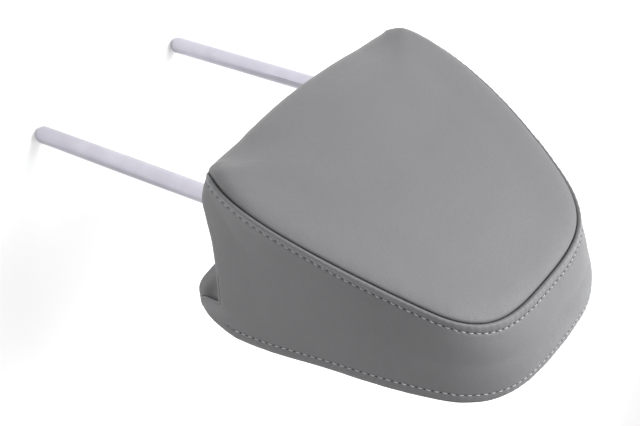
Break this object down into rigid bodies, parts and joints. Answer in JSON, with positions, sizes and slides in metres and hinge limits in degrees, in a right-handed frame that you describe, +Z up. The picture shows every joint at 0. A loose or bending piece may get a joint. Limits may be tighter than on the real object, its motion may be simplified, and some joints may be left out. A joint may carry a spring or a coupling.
{
  "type": "head restraint",
  "caption": "Padded seat head restraint: a stitched, wedge-shaped cushion with a crowned, backward-leaning front panel on straight chrome posts that drop into seat-back sleeves.",
  "frame": {"origin": "midway between the two post axes, level with the flat faces of the post tips", "axes": "+Z up along the posts towards the padded head, -Y is the front where the head leans, X is the width"},
  "size_m": [0.2492, 0.158, 0.4083],
  "materials": {
    "leatherette": "matte, fine grain",
    "chrome": "polished",
    "zinc_steel": "zinc plated",
    "black_plastic": "moulded, satin",
    "foam": "moulded skin, matte"
  },
  "bodies": {
    "root": {"front_cover": "leatherette", "side_band_cover": "leatherette", "rear_cover": "leatherette", "foam_bun": "foam", "front_closure_strip": "black_plastic", "rear_closure_strip": "black_plastic", "post_frame": "chrome", "left_post_collar": "black_plastic", "right_post_collar": "black_plastic", "front_carrier_shell": "black_plastic", "rear_carrier_shell": "black_plastic", "support_plate": "zinc_steel", "left_tube_saddle": "zinc_steel", "right_tube_saddle": "zinc_steel", "saddle_rivet_1": "zinc_steel", "saddle_rivet_2": "zinc_steel", "saddle_rivet_3": "zinc_steel", "saddle_rivet_4": "zinc_steel", "carrier_screw_1": "zinc_steel", "carrier_screw_2": "zinc_steel", "carrier_screw_3": "zinc_steel", "carrier_screw_4": "zinc_steel", "carrier_screw_5": "zinc_steel", "carrier_screw_6": "zinc_steel"}
  },
  "joints": []
}
